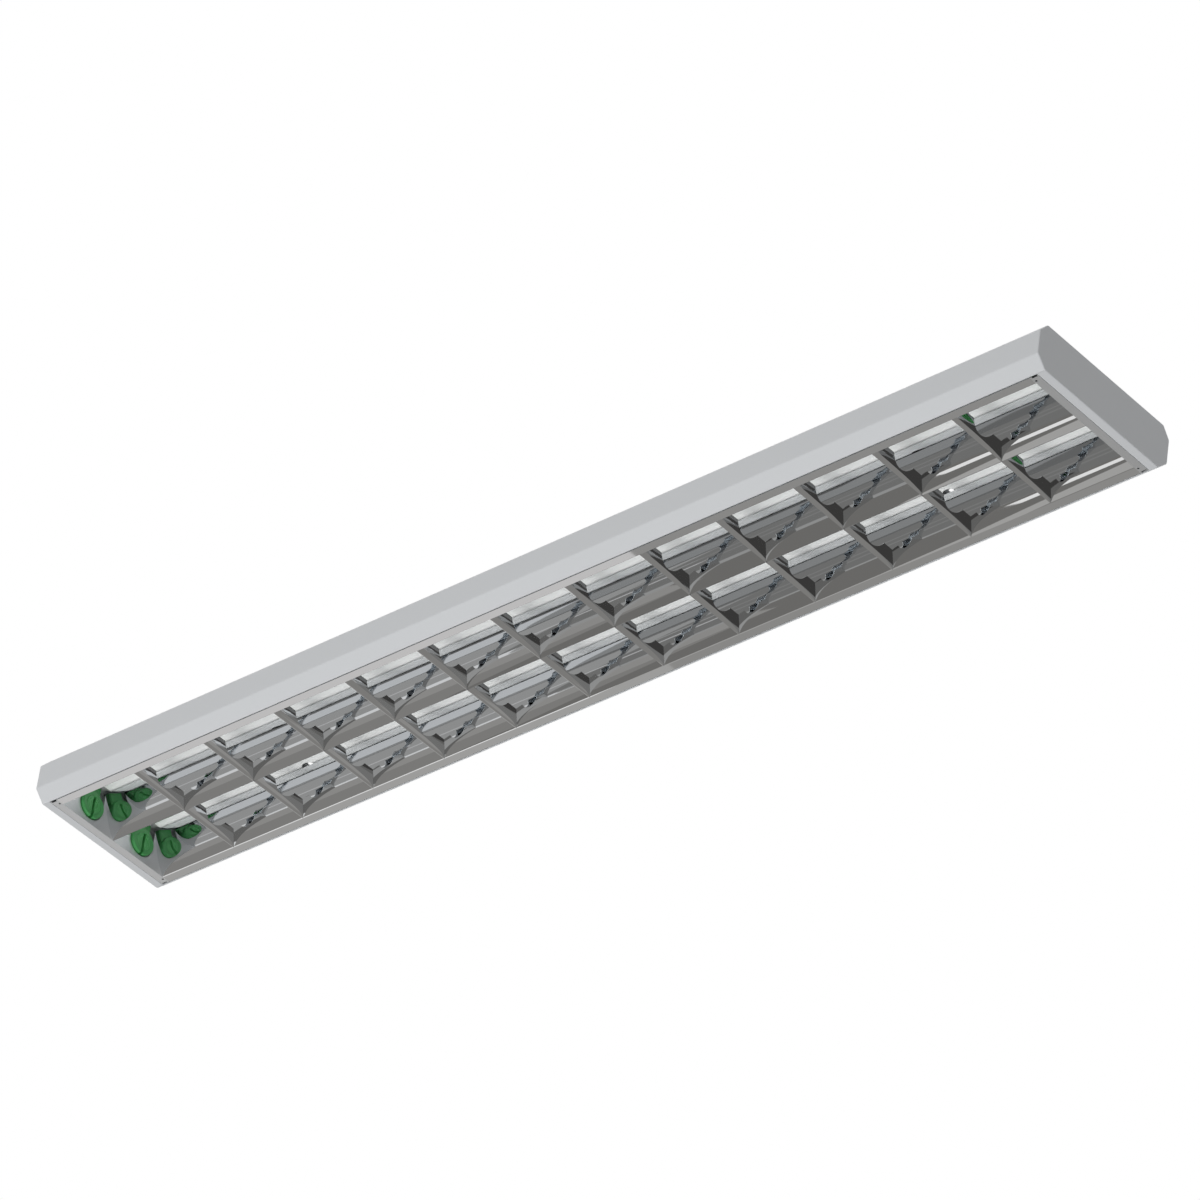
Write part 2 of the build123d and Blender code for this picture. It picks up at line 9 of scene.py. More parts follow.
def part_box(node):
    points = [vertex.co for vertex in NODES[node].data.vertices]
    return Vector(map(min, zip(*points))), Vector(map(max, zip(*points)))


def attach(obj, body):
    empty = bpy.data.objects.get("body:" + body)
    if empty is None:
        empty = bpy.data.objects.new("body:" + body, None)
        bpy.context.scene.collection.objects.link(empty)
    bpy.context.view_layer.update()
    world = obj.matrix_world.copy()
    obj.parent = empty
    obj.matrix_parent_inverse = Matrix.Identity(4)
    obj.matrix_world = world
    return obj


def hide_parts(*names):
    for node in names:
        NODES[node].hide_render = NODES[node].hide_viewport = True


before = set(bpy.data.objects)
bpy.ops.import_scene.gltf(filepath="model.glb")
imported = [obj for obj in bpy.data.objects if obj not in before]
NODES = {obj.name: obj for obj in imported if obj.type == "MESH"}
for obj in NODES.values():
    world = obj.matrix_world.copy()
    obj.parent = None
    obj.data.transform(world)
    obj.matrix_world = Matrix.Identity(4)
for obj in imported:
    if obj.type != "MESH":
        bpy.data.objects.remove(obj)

bl_info = {
    "name": "Mirror louvre ceiling light",
    "version": (1, 0, 0),
    "blender": (4, 2, 0),
    "location": "3D View > Sidebar > Ceiling light",
    "description": "Dresses a surface mounted tube light with its louvre, enamel and lampholders",
    "category": "Object",
}

MM = 0.001
CENTRE_LOW, CENTRE_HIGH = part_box("louvre_centre_reflector")
SIDE_LOW, SIDE_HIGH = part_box("louvre_side_far")
BLADE_LOW, BLADE_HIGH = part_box("cross_blade_01")
MOUTH_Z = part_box("housing_body")[0].z

# Louvre sheet work
CENTRE_TOP_LIP = 4 * MM
SIDE_TOP_LIP = 5 * MM
RIM_UPSTAND = 8 * MM
RIM_TO_WALL_GAP = 0.2 * MM
BLADE_END_GAP = 0.1 * MM
BLADE_INNER_MINIMUM = 0.02 * MM
WALL_SAMPLES = 40
BLADE_SAMPLES_ACROSS = 121
BLADE_SAMPLES_UP = 14
NOTCH_HALVINGS = 30

# Lampholders, in mm behind their face and out from the lamp's axis
PIN_SLOT_HALF = 1.6
DRUM_RADIUS = 14.3
DRUM_DEPTH = 11.0
RECESS_RADIUS = 9.05
CAVITY_RADIUS = 7.5
PEG_RADIUS = 3.0
PEG_RISE = 8.0
ROTOR_RADIUS = 9.0
ROTOR_DEPTH = 6.8
ROTOR_SLOT_DEPTH = 5.2
AXIS_RADIUS = 0.01

# Stage, in metres
FLOOR_HALF = 400.0
CAMERA_REACH = 1000.0
LAMP_SIZE = 3.0
MIRROR_BOUNCES = 12
LAMPS = {
    "key_lamp": (1.0, (-1.0, -5.0, -3.5)),
    "floor_lamp": (0.5, (0.5, 0.0, -5.5)),
    "top_lamp": (0.5, (0.0, 2.0, 5.0)),
}

# Cards that only mirrors and gloss show, half a metre under the fitting and round it.
# Each has a tone and two corners in metres, which share one coordinate.
CARD_TONES = {
    "white": "F6F4F2", "pale": "D3D0CE", "light": "B0AEAB", "soft": "999794",
    "middle": "898784", "grey": "767471", "dark": "484644",
}
CARDS = {
    "near_card_left": ("middle", (-1.6, -1.2, -0.5), (-0.72, -0.36, -0.5)),
    "near_card_middle": ("grey", (-0.72, -1.2, -0.5), (-0.1, -0.36, -0.5)),
    "near_card_right": ("light", (-0.1, -1.2, -0.5), (0.25, -0.36, -0.5)),
    "near_card_end": ("grey", (0.25, -1.2, -0.5), (0.8, -0.36, -0.5)),
    "under_card_left": ("white", (-1.6, -0.36, -0.5), (-0.45, 0.05, -0.5)),
    "under_card_middle": ("light", (-0.45, -0.36, -0.5), (0.12, 0.05, -0.5)),
    "under_card_right": ("middle", (0.12, -0.36, -0.5), (0.8, 0.05, -0.5)),
    "end_card": ("dark", (0.8, -1.2, -0.5), (1.6, 0.05, -0.5)),
    "far_card_left": ("light", (-1.6, 0.05, -0.5), (-0.48, 0.8, -0.5)),
    "far_card_right": ("middle", (-0.48, 0.05, -0.5), (1.6, 0.8, -0.5)),
    "outer_card": ("middle", (-1.6, 0.8, -0.5), (1.6, 1.2, -0.5)),
    "near_rim_card_left": ("pale", (-1.6, 0.32, -0.498), (-0.29, 0.36, -0.498)),
    "near_rim_card_right": ("soft", (-0.29, 0.32, -0.498), (0.3, 0.36, -0.498)),
    "far_rim_card_left": ("light", (-1.6, 0.49, -0.498), (-0.38, 0.53, -0.498)),
    "far_rim_card_right": ("soft", (-0.38, 0.49, -0.498), (0.3, 0.53, -0.498)),
    "window_card": ("white", (-0.36, -1.198, -0.47), (-0.08, -1.198, -0.36)),
    "wall_card_left": ("soft", (-1.6, -1.2, -0.5), (-1.6, 1.2, 0.0)),
    "wall_card_right": ("dark", (1.6, -1.2, -0.5), (1.6, 0.2, 0.0)),
    "wall_card_right_far": ("middle", (1.6, 0.2, -0.5), (1.6, 1.2, 0.0)),
    "wall_card_near_left": ("soft", (-1.6, -1.2, -0.5), (-0.72, -1.2, 0.0)),
    "wall_card_near_right": ("grey", (-0.72, -1.2, -0.5), (1.6, -1.2, 0.0)),
    "wall_card_far": ("soft", (-1.6, 1.2, -0.5), (1.6, 1.2, 0.0)),
}


# Sizes and colours that a user would change


class HousingSettings(bpy.types.PropertyGroup):
    """Sheet steel body and its inside."""
    enamel: bpy.props.StringProperty(
        name="Enamel", description="Colour of the body and end caps, sRGB hex", default="CFD1D3")
    tray_enamel: bpy.props.StringProperty(
        name="Tray enamel", description="Colour of the gear tray, sRGB hex", default="F2F3F1")
    enamel_roughness: bpy.props.FloatProperty(
        name="Enamel roughness", description="Satin finish of the stove enamel",
        default=0.42, min=0.0, max=1.0, subtype="FACTOR")


class LouvreSettings(bpy.types.PropertyGroup):
    """Mirror louvre: reflectors along the tubes and cross blades."""
    metal: bpy.props.StringProperty(
        name="Aluminium", description="Colour of the bright anodised sheet, sRGB hex",
        default="E3E5E7")
    roughness: bpy.props.FloatProperty(
        name="Mirror roughness", description="Blur of the anodised mirror finish",
        default=0.03, min=0.0, max=1.0, subtype="FACTOR")
    sheet: bpy.props.FloatProperty(
        name="Sheet", description="Thickness of the reflector sheet",
        default=0.5 * MM, min=0.2 * MM, max=2 * MM, unit="LENGTH")
    knee_reach: bpy.props.FloatProperty(
        name="Knee reach",
        description="Control point of the reflector parabola, out from the ridge",
        default=13.5 * MM, unit="LENGTH")
    knee_height: bpy.props.FloatProperty(
        name="Knee height",
        description="Control point of the reflector parabola, up from the mouth",
        default=14.5 * MM, unit="LENGTH")
    ridge: bpy.props.FloatProperty(
        name="Ridge", description="Half width of the ridge where the two walls meet",
        default=0.3 * MM, unit="LENGTH")
    blade_knee_reach: bpy.props.FloatProperty(
        name="Blade knee reach",
        description="Control point of the blade parabola, out from its fold",
        default=4.2 * MM, unit="LENGTH")
    blade_knee_height: bpy.props.FloatProperty(
        name="Blade knee height",
        description="Control point of the blade parabola, up from its fold",
        default=5.8 * MM, unit="LENGTH")
    notch_radius: bpy.props.FloatProperty(
        name="Notch radius", description="Radius of the notch round each tube",
        default=15 * MM, min=13 * MM, unit="LENGTH")
    tube_height: bpy.props.FloatProperty(
        name="Tube height", description="Height of the tubes' axes over the mouth",
        default=20.6 * MM, unit="LENGTH")
    row_width: bpy.props.FloatProperty(
        name="Row width", description="Width of one row at the mouth",
        default=71.4 * MM, unit="LENGTH")


class HolderSettings(bpy.types.PropertyGroup):
    """Lampholders."""
    green: bpy.props.StringProperty(
        name="Holder green", description="Colour of the moulded body, sRGB hex", default="3F8C4C")
    rotor_green: bpy.props.StringProperty(
        name="Rotor green", description="Colour of the rotor, sRGB hex", default="4B9A57")
    face_place: bpy.props.FloatProperty(
        name="Face place",
        description="Distance of the holders' faces from the middle of the fitting",
        default=600.25 * MM, unit="LENGTH")


class StageSettings(bpy.types.PropertyGroup):
    """Camera, floor and lamps."""
    camera_place: bpy.props.FloatVectorProperty(
        name="Camera", description="Where the camera stands",
        default=(4.387, -4.225, -4.545), size=3, subtype="TRANSLATION", unit="LENGTH")
    camera_aim: bpy.props.FloatVectorProperty(
        name="Aim", description="Point at the middle of the picture",
        default=(0.0219, 0.0, -0.0084), size=3, subtype="TRANSLATION", unit="LENGTH")
    camera_roll: bpy.props.FloatProperty(
        name="Roll", description="Turn of the camera about its view direction",
        default=0.1476, subtype="ANGLE")
    lens: bpy.props.FloatProperty(
        name="Lens", description="Focal length on a 36 mm wide sensor, in millimetres",
        default=243.43, min=1.0)
    floor_drop: bpy.props.FloatProperty(
        name="Floor drop", description="Height of the fitting over the floor",
        default=10.0, min=9.0, unit="LENGTH")
    floor_lift: bpy.props.FloatProperty(
        name="Floor lift", description="Level added to the floor where it is seen, towards white",
        default=0.5, min=0.0, max=1.0)
    world_fill: bpy.props.FloatProperty(
        name="Fill", description="Level of the light that comes from all round",
        default=0.43, min=0.0)
    mirrored_fill: bpy.props.FloatProperty(
        name="Mirrored fill",
        description="Level of the light that mirrors pass on to matt surfaces",
        default=1.7, min=0.0)
    key_power: bpy.props.FloatProperty(
        name="Key power", description="Power of the key lamp; the other two have half of it",
        default=185.0, min=0.0, unit="POWER")


def settings(name):
    """The named PropertyGroup of the scene."""
    return getattr(bpy.context.scene, "ceiling_light_" + name)


# Colours and node materials


def linear(hex_colour):
    """Linear colour of an sRGB hex value: each channel through the sRGB curve."""
    channels = []
    for i in (0, 2, 4):
        c = int(hex_colour[i:i + 2], 16) / 255
        channels.append(c / 12.92 if c <= 0.04045 else ((c + 0.055) / 1.055) ** 2.4)
    return (*channels, 1.0)


def add_node(tree, kind, links=None, **settings_):
    """Adds a node, sets its sockets or properties, and links named inputs to given outputs."""
    node = tree.nodes.new(kind)
    for key, value in settings_.items():
        if hasattr(node, key):
            setattr(node, key, value)
        else:
            node.inputs[key.replace("_", " ")].default_value = value
    for key, source in (links or {}).items():
        tree.links.new(source, node.inputs[key])
    return node


def new_material(name):
    """Empty node material and its output node."""
    material = bpy.data.materials.new(name)
    material.use_nodes = True
    material.node_tree.nodes.clear()
    output = add_node(material.node_tree, "ShaderNodeOutputMaterial")
    return material, material.node_tree, output


def surface(name, colour, roughness, metallic=0.0, bump_mm=0.0, grain_mm=1.0, stretch=(1, 1, 1)):
    """Principled surface with an optional fine relief from noise on the object's coordinates."""
    material, tree, output = new_material(name)
    shader = add_node(tree, "ShaderNodeBsdfPrincipled")
    shader.inputs["Base Color"].default_value = linear(colour)
    shader.inputs["Roughness"].default_value = roughness
    shader.inputs["Metallic"].default_value = metallic
    if bump_mm:
        place = add_node(tree, "ShaderNodeTexCoord")
        mapping = add_node(tree, "ShaderNodeMapping", {"Vector": place.outputs["Object"]})
        mapping.inputs["Scale"].default_value = [s / (grain_mm * MM) for s in stretch]
        noise = add_node(tree, "ShaderNodeTexNoise", {"Vector": mapping.outputs["Vector"]})
        noise.inputs["Scale"].default_value = 1.0
        noise.inputs["Detail"].default_value = 2.0
        bump = add_node(tree, "ShaderNodeBump", {"Height": noise.outputs["Fac"]})
        bump.inputs["Distance"].default_value = bump_mm * MM
        tree.links.new(bump.outputs["Normal"], shader.inputs["Normal"])
    tree.links.new(shader.outputs["BSDF"], output.inputs["Surface"])
    return material


def seen_by_camera_or_gloss(tree):
    """One where a ray comes from the camera, a gloss or a clear surface, otherwise zero."""
    path = add_node(tree, "ShaderNodeLightPath")
    seen = path.outputs["Is Camera Ray"]
    for ray in ("Is Glossy Ray", "Is Transmission Ray"):
        either = add_node(
            tree, "ShaderNodeMath", {0: seen, 1: path.outputs[ray]}, operation="MAXIMUM")
        seen = either.outputs[0]
    return seen


def finish_node(name, material):
    """Gives one CAD node its material."""
    node = NODES[name]
    node.data.materials.clear()
    node.data.materials.append(material)


# Surfaces


def add_mesh(name, points, faces, material, smooth_angle=None):
    """Mesh object at the origin from an array of points and a list of faces."""
    mesh = bpy.data.meshes.new(name)
    mesh.from_pydata([tuple(p) for p in points], [], [tuple(int(i) for i in f) for f in faces])
    mesh.validate()
    mesh.materials.append(material)
    made = bpy.data.objects.new(name, mesh)
    bpy.context.scene.collection.objects.link(made)
    if smooth_angle is not None:
        mesh.polygons.foreach_set("use_smooth", np.ones(len(mesh.polygons), bool))
        mark_sharp_edges(mesh, smooth_angle)
    return made


def mark_sharp_edges(mesh, angle):
    """Marks each edge as sharp where its two faces meet at more than the angle."""
    count = len(mesh.polygons)
    normals = np.zeros(count * 3)
    mesh.polygons.foreach_get("normal", normals)
    normals = normals.reshape(-1, 3)
    loops = np.zeros(len(mesh.loops), int)
    mesh.loops.foreach_get("edge_index", loops)
    starts = np.zeros(count, int)
    totals = np.zeros(count, int)
    mesh.polygons.foreach_get("loop_start", starts)
    mesh.polygons.foreach_get("loop_total", totals)
    owner = np.repeat(np.arange(count), totals)
    order = np.argsort(loops, kind="stable")
    edges, first, uses = np.unique(loops[order], return_index=True, return_counts=True)
    pairs = uses == 2
    a = normals[owner[order[first[pairs]]]]
    b = normals[owner[order[first[pairs] + 1]]]
    sharp = np.zeros(len(mesh.edges), bool)
    sharp[edges[pairs]] = (a * b).sum(1) < math.cos(angle)
    attribute = mesh.attributes.new("sharp_edge", "BOOLEAN", "EDGE")
    attribute.data.foreach_set("value", sharp)


def tube_faces(sections, ring):
    """Faces of a closed ring carried through sections, with a cap at each end."""
    i, j = np.meshgrid(np.arange(sections - 1), np.arange(ring), indexing="ij")
    k = (j + 1) % ring
    quads = np.stack([i * ring + j, i * ring + k, (i + 1) * ring + k, (i + 1) * ring + j], -1)
    faces = [list(q) for q in quads.reshape(-1, 4)]
    faces.append(list(range(ring))[::-1])
    faces.append([(sections - 1) * ring + n for n in range(ring)])
    return faces


def joined(shells):
    """Points and faces of several closed shells as one mesh."""
    points, faces, base = [], [], 0
    for shell_points, shell_faces in shells:
        faces += [[i + base for i in f] for f in shell_faces]
        points.append(shell_points)
        base += len(shell_points)
    return np.concatenate(points), faces



def parabola(start, knee, end, s):
    """Quadratic curve through three control points: (1-s)^2 start + 2s(1-s) knee + s^2 end."""
    s = np.asarray(s, float)[..., None]
    start, knee, end = np.array(start), np.array(knee), np.array(end)
    return (1 - s) ** 2 * start + 2 * s * (1 - s) * knee + s ** 2 * end


def parabola_share(height, knee_height, top_height):
    """Share s at which a parabola is at a height over the mouth: 2s(1-s) knee + s^2 top."""
    a = top_height - 2 * knee_height
    b = 2 * knee_height
    return (-b + np.sqrt(b * b + 4 * a * np.asarray(height))) / (2 * a)


def parabola_reach(s, low, knee, top):
    """Reach of a parabola at the share s: (1-s)^2 low + 2s(1-s) knee + s^2 top."""
    return (1 - s) ** 2 * low + 2 * s * (1 - s) * knee + s ** 2 * top


def reflector_reach(height):
    """Reach of the reflector wall from its ridge at a height over the mouth."""
    louvre = settings("louvre")
    s = parabola_share(height, louvre.knee_height, CENTRE_HIGH.z - MOUTH_Z)
    return parabola_reach(s, louvre.ridge, louvre.knee_reach, CENTRE_HIGH.y)


def wall_line():
    """Points of the reflector wall from ridge to top, as reach and height."""
    louvre = settings("louvre")
    knee = (louvre.knee_reach, louvre.knee_height)
    top = (CENTRE_HIGH.y, CENTRE_HIGH.z - MOUTH_Z)
    return parabola((louvre.ridge, 0), knee, top, np.linspace(0, 1, WALL_SAMPLES))


def sheet_ring(line, thickness):
    """Closed ring round an open line: the line, then the same line set off by the thickness."""
    steps = np.gradient(line, axis=0)
    normals = np.stack([steps[:, 1], -steps[:, 0]], 1)
    normals /= np.linalg.norm(normals, axis=1)[:, None]
    return np.concatenate([line, (line - normals * thickness)[::-1]])


def along_tubes(name, ring, material, low_x, high_x):
    """Section ring in Y and Z carried along X from low_x to high_x."""
    points = np.zeros((2, len(ring), 3))
    points[..., 0] = np.array([low_x, high_x])[:, None]
    points[..., 1:] = ring[None]
    faces = tube_faces(2, len(ring))
    return add_mesh(name, points.reshape(-1, 3), faces, material, math.radians(25))


class CEILINGLIGHT_OT_housing(bpy.types.Operator):
    """Enamels the body, end caps and gear tray"""
    bl_idname = "ceiling_light.housing"
    bl_label = "Housing"

    def execute(self, context):
        housing = settings("housing")
        # Stove enamel on sheet steel: satin, with a very fine orange peel
        enamel = surface("pale grey stove enamel", housing.enamel, housing.enamel_roughness,
                         bump_mm=0.004, grain_mm=2.5)
        for name in ("housing_body", "end_cap_left", "end_cap_right"):
            finish_node(name, enamel)
        # White reflective enamel on the tray over the tubes: softer and a little glossier
        white = surface("white reflector enamel", housing.tray_enamel, 0.35)
        finish_node("gear_tray", white)
        finish_node("gear_case", white)
        return {"FINISHED"}


class CEILINGLIGHT_OT_reflectors(bpy.types.Operator):
    """Builds the centre and side reflectors as smooth parabolic mirrors"""
    bl_idname = "ceiling_light.reflectors"
    bl_label = "Reflectors"

    def execute(self, context):
        louvre = settings("louvre")
        metal = mirror_metal()
        wall = wall_line()
        half = np.concatenate([wall, [wall[-1] - (CENTRE_TOP_LIP, 0.0)]])
        whole = np.concatenate([(half * (-1, 1))[::-1], half[1:]])
        ring = sheet_ring(whole[::-1], -louvre.sheet) + (0, MOUTH_Z)
        centre = along_tubes("centre_reflector", ring, metal, CENTRE_LOW.x, CENTRE_HIGH.x)
        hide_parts("louvre_centre_reflector")
        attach(centre, "louvre")
        rim_edge = louvre.row_width - louvre.ridge
        outer = SIDE_HIGH.y
        side_wall = wall * (-1, 1) + (louvre.row_width, 0)
        line = np.concatenate([
            [(outer, RIM_UPSTAND), (outer, 0.0), (rim_edge + RIM_TO_WALL_GAP, 0.0)],
            side_wall[1:],
            [side_wall[-1] + (SIDE_TOP_LIP, 0.0)],
        ])
        for name, sign in (("near", -1), ("far", 1)):
            ring = sheet_ring(line, -louvre.sheet) * (sign, 1) + (0, MOUTH_Z)
            if sign < 0:
                ring = ring[::-1]
            made = along_tubes("side_reflector_" + name, ring, metal, SIDE_LOW.x, SIDE_HIGH.x)
            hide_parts("louvre_side_" + name)
            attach(made, "louvre")
        # End plates of the same sheet without the mirror finish: satin, so soft tones only
        satin = surface("satin anodised aluminium sheet", louvre.metal, 0.34, metallic=0.75)
        for name in ("louvre_end_left", "louvre_end_right"):
            finish_node(name, satin)
        return {"FINISHED"}


def mirror_metal():
    """Bright anodised aluminium sheet: a mirror with slight rolling waves."""
    louvre = settings("louvre")
    known = bpy.data.materials.get("bright anodised aluminium sheet")
    if known:
        return known
    return surface("bright anodised aluminium sheet", louvre.metal, louvre.roughness, metallic=1.0,
                   bump_mm=0.008, grain_mm=22, stretch=(0.5, 1, 1))


def blade_points():
    """One row of a cross blade: at each place across, its profile scaled to its height there.

    Across the row, y runs between the two reflectors at each height, and the top is the lower of
    the full height and the arc of the notch, found by halving the interval.
    """
    louvre = settings("louvre")
    full = BLADE_HIGH.z - MOUTH_Z
    half_top = (BLADE_HIGH.x - BLADE_LOW.x) / 2
    tube_y = louvre.row_width / 2
    share = np.linspace(0, 1, BLADE_SAMPLES_ACROSS)

    def between_walls(h, share):
        reach = reflector_reach(h) + BLADE_END_GAP
        return reach + share * (louvre.row_width - 2 * reach)

    def open_at(h):
        out = between_walls(h, share) - tube_y
        return out ** 2 + (h - louvre.tube_height) ** 2 < louvre.notch_radius ** 2

    low, high = np.zeros_like(share), np.full_like(share, full)
    for _ in range(NOTCH_HALVINGS):
        middle = (low + high) / 2
        blocked = open_at(middle)
        high = np.where(blocked, middle, high)
        low = np.where(blocked, low, middle)
    top = np.where(open_at(np.full_like(share, full)), low, full)
    height = top[:, None] * np.linspace(0, 1, BLADE_SAMPLES_UP)[None]
    s = parabola_share(height, louvre.blade_knee_height, full)
    reach = parabola_reach(s, louvre.ridge, louvre.blade_knee_reach, half_top)
    return reach, between_walls(height, share[:, None]), height


def blade_mesh(name, x, material):
    """Cross blade over both rows: each row is a ring of two walls, outer faces, then inner.

    The inner faces lie one sheet inside the outer ones. Near the fold, where they would cross,
    they stop a little over it: at 1.6 sheets, or half the blade's height there if that is less.
    """
    sheet = settings("louvre").sheet
    reach, y, height = blade_points()
    inner = np.clip(reach - sheet, BLADE_INNER_MINIMUM, None)
    lift = np.where(reach - sheet < BLADE_INNER_MINIMUM, sheet, 0.0)
    inner_height = np.maximum(height, np.minimum(lift * 1.6, height[:, -1:] * 0.5))
    rows = []
    for side in (-1, 1):
        ring = np.concatenate([
            np.stack([-reach[:, ::-1], y[:, ::-1], height[:, ::-1]], -1),
            np.stack([reach, y, height], -1),
            np.stack([inner[:, ::-1], y[:, ::-1], inner_height[:, ::-1]], -1),
            np.stack([-inner, y, inner_height], -1),
        ], axis=1)
        ring = ring * (1, side, 1) + (x, 0, MOUTH_Z)
        if side > 0:
            ring = ring[:, ::-1]
        rows.append((ring.reshape(-1, 3), tube_faces(*ring.shape[:2])))
    return add_mesh(name, *joined(rows), material, math.radians(30))


class CEILINGLIGHT_OT_blades(bpy.types.Operator):
    """Builds the cross blades with their notches"""
    bl_idname = "ceiling_light.blades"
    bl_label = "Cross blades"

    def execute(self, context):
        metal = mirror_metal()
        for node in sorted(n for n in NODES if n.startswith("cross_blade_")):
            low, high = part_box(node)
            made = blade_mesh("mirror_" + node, (low.x + high.x) / 2, metal)
            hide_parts(node)
            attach(made, "louvre")
        return {"FINISHED"}


def swept_ring(ring, middle, half_range, steps):
    """Closed ring of radius and depth swept about the lamp's axis, half_range(radius) each way.

    A point is (depth, r sin a, r cos a) with a = middle + t half_range(r) and t from -1 to 1, so
    the two ends are flat where half_range keeps them a fixed distance from the axis.
    """
    radius, depth = (np.array(ring) * MM).T[:, None]
    t = np.linspace(-1, 1, steps)[:, None]
    angle = middle + t * half_range(radius)
    depths = np.broadcast_to(depth, angle.shape)
    points = np.stack([depths, radius * np.sin(angle), radius * np.cos(angle)], -1)
    return points.reshape(-1, 3), tube_faces(steps, len(ring))


def block(low, high, corner=0.0):
    """Upright block between two corners in depth, y and z, in mm, its front edges cut off."""
    (d0, y0, z0), (d1, y1, z1) = low, high
    outline = [
        (d1, y0), (d0 + corner, y0), (d0, y0 + corner),
        (d0, y1 - corner), (d0 + corner, y1), (d1, y1),
    ]
    if not corner:
        outline = [(d1, y0), (d0, y0), (d0, y1), (d1, y1)]
    points = np.array([(d, y, z) for z in (z0, z1) for d, y in outline]) * MM
    return points, tube_faces(2, len(outline))


def rounded(rim, radius, samples):
    """Quarter circle between the face and the rim of a disc: (rim - R + R sin a, R - R cos a)."""
    a = np.linspace(0, math.pi / 2, samples)
    return list(zip(rim - radius + radius * np.sin(a), radius - radius * np.cos(a)))


def full_turn(radius):
    """Half a turn each way at every radius."""
    return np.full_like(radius, math.pi)


def holder_piece(name, side, row, shells, material):
    """One mesh from closed shells, which are given in depth behind the holder's face, y and z."""
    louvre = settings("louvre")
    points, faces = joined(shells)
    points[:, 0] = side * (settings("holder").face_place + points[:, 0])
    points[:, 1] += row * louvre.row_width / 2
    points[:, 2] += MOUTH_Z + louvre.tube_height
    made = add_mesh(name, points, faces, material)
    work = bmesh.new()
    work.from_mesh(made.data)
    bmesh.ops.recalc_face_normals(work, faces=work.faces)
    work.to_mesh(made.data)
    work.free()
    made.data.polygons.foreach_set("use_smooth", np.ones(len(made.data.polygons), bool))
    mark_sharp_edges(made.data, math.radians(32))
    return made


def holder_body_shells():
    """Drum that is open below for the tube's pins, the floor of its recess, neck and peg."""
    drum = [(RECESS_RADIUS, DRUM_DEPTH), (RECESS_RADIUS, 0.4), (9.4, 0.0)]
    drum += rounded(DRUM_RADIUS, 1.2, 6) + [(DRUM_RADIUS, 10.6), (13.9, DRUM_DEPTH)]
    floor = [
        (AXIS_RADIUS, DRUM_DEPTH), (AXIS_RADIUS, 9.3), (CAVITY_RADIUS, 9.3),
        (CAVITY_RADIUS, 6.9), (9.2, 6.9), (9.2, DRUM_DEPTH),
    ]
    peg = [
        (AXIS_RADIUS, 13.5), (AXIS_RADIUS, 10.5), (PEG_RADIUS, 10.5),
        (PEG_RADIUS, 13.0), (2.6, 13.5),
    ]
    peg_points, peg_faces = swept_ring(peg, 0.0, full_turn, 25)

    def beside_slot(radius):
        return math.pi - np.arcsin(PIN_SLOT_HALF * MM / radius)

    return [
        swept_ring(drum, 0.0, beside_slot, 97),
        swept_ring(floor, 0.0, full_turn, 49),
        block((ROTOR_SLOT_DEPTH, -PIN_SLOT_HALF, -14.0), (DRUM_DEPTH, PIN_SLOT_HALF, -9.1)),
        block((3.0, -9.0, 9.6), (DRUM_DEPTH, 9.0, 23.9), corner=1.2),
        (peg_points + (0, 0, PEG_RISE * MM), peg_faces),
    ]


def rotor_shells():
    """Two half discs with a ring groove and a sunk hub, and the floor of the slot between them."""
    half = [
        (PIN_SLOT_HALF, ROTOR_DEPTH), (PIN_SLOT_HALF, 0.6), (4.9, 0.6), (5.2, 0.0),
        (6.8, 0.0), (7.0, 0.3), (7.4, 0.3), (7.6, 0.0),
    ]
    half += rounded(ROTOR_RADIUS, 0.4, 4) + [(ROTOR_RADIUS, ROTOR_DEPTH)]

    def beside_slot(radius):
        return np.arccos(np.clip(PIN_SLOT_HALF * MM / radius, 0, 1))

    halves = [swept_ring(half, middle, beside_slot, 49) for middle in (math.pi / 2, -math.pi / 2)]
    floor = block((ROTOR_SLOT_DEPTH, -PIN_SLOT_HALF, -8.8), (ROTOR_DEPTH, PIN_SLOT_HALF, 8.8))
    return halves + [floor]


class CEILINGLIGHT_OT_holders(bpy.types.Operator):
    """Builds the lampholders and their rotors as round mouldings, and finishes the contacts"""
    bl_idname = "ceiling_light.holders"
    bl_label = "Lampholders"

    def execute(self, context):
        holder = settings("holder")
        # Moulded thermoplastic: satin, coloured through
        green = surface(
            "green moulded polycarbonate", holder.green, 0.38, bump_mm=0.002, grain_mm=1)
        rotor = surface("green moulded rotor", holder.rotor_green, 0.33)
        brass = surface("phosphor bronze leaf", "C8A25A", 0.3, metallic=1.0)
        for side_name, side in (("left", -1), ("right", 1)):
            for row_name, row in (("near", -1), ("far", 1)):
                place = side_name + "_" + row_name
                body = holder_piece("holder_" + place, side, row, holder_body_shells(), green)
                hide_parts("lampholder_body_" + place)
                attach(body, "fitting")
                disc = holder_piece("rotor_disc_" + place, side, row, rotor_shells(), rotor)
                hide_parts("lampholder_rotor_" + place)
                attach(disc, "rotor_" + place)
                finish_node("lampholder_contacts_" + place, brass)
        return {"FINISHED"}


